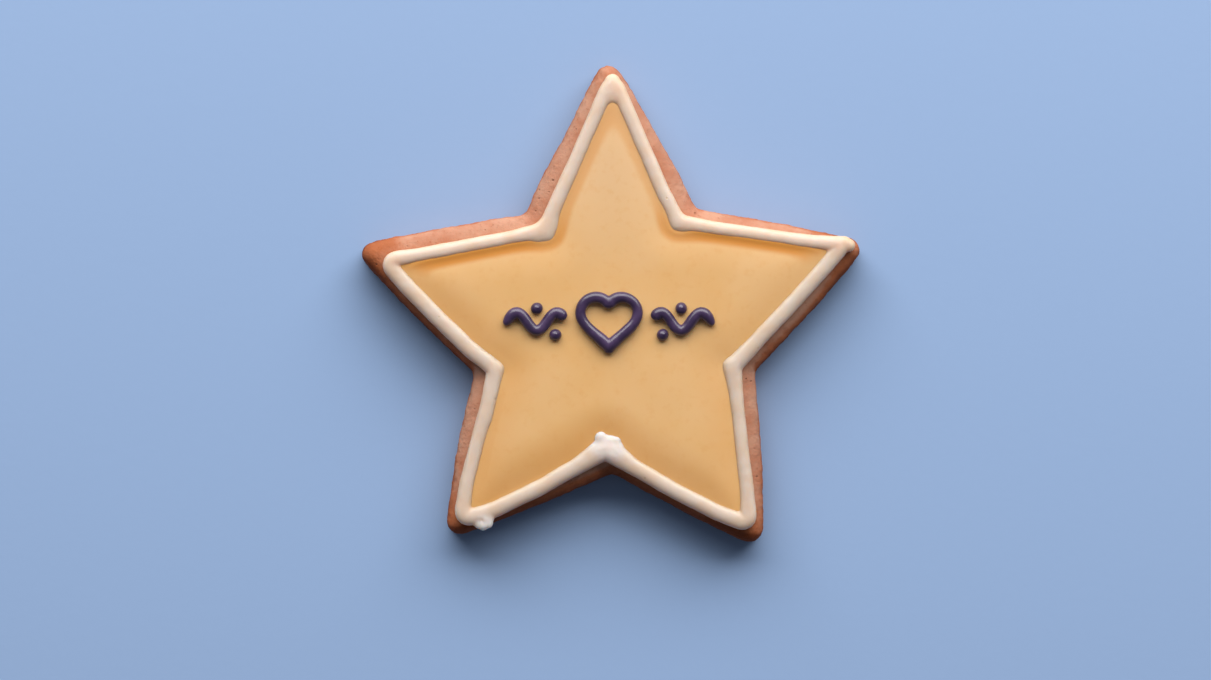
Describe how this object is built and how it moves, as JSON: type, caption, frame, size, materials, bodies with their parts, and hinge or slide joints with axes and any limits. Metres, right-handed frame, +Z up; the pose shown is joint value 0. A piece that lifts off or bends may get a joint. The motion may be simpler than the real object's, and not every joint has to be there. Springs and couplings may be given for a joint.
{
  "type": "star cookie",
  "caption": "Flat five-pointed star biscuit with a raised piped icing border, smooth flood icing inside it and a small piped ornament in the middle.",
  "frame": {"origin": "centre of the biscuit's box, on the face that it rests on", "axes": "+Z up out of the iced face, +Y towards the star's single upright tip, +X to the right as seen from above"},
  "size_m": [0.0696, 0.0666, 0.0085],
  "materials": {
    "biscuit": "matte",
    "flood_icing": "satin",
    "border_icing": "satin",
    "piped_icing": "gloss"
  },
  "bodies": {
    "root": {"biscuit": "biscuit", "border_icing": "border_icing", "flood_icing": "flood_icing", "piped_heart": "piped_icing", "piped_wave_left": "piped_icing", "piped_wave_right": "piped_icing", "piped_dot_1": "piped_icing", "piped_dot_2": "piped_icing", "piped_dot_3": "piped_icing", "piped_dot_4": "piped_icing"}
  },
  "joints": []
}
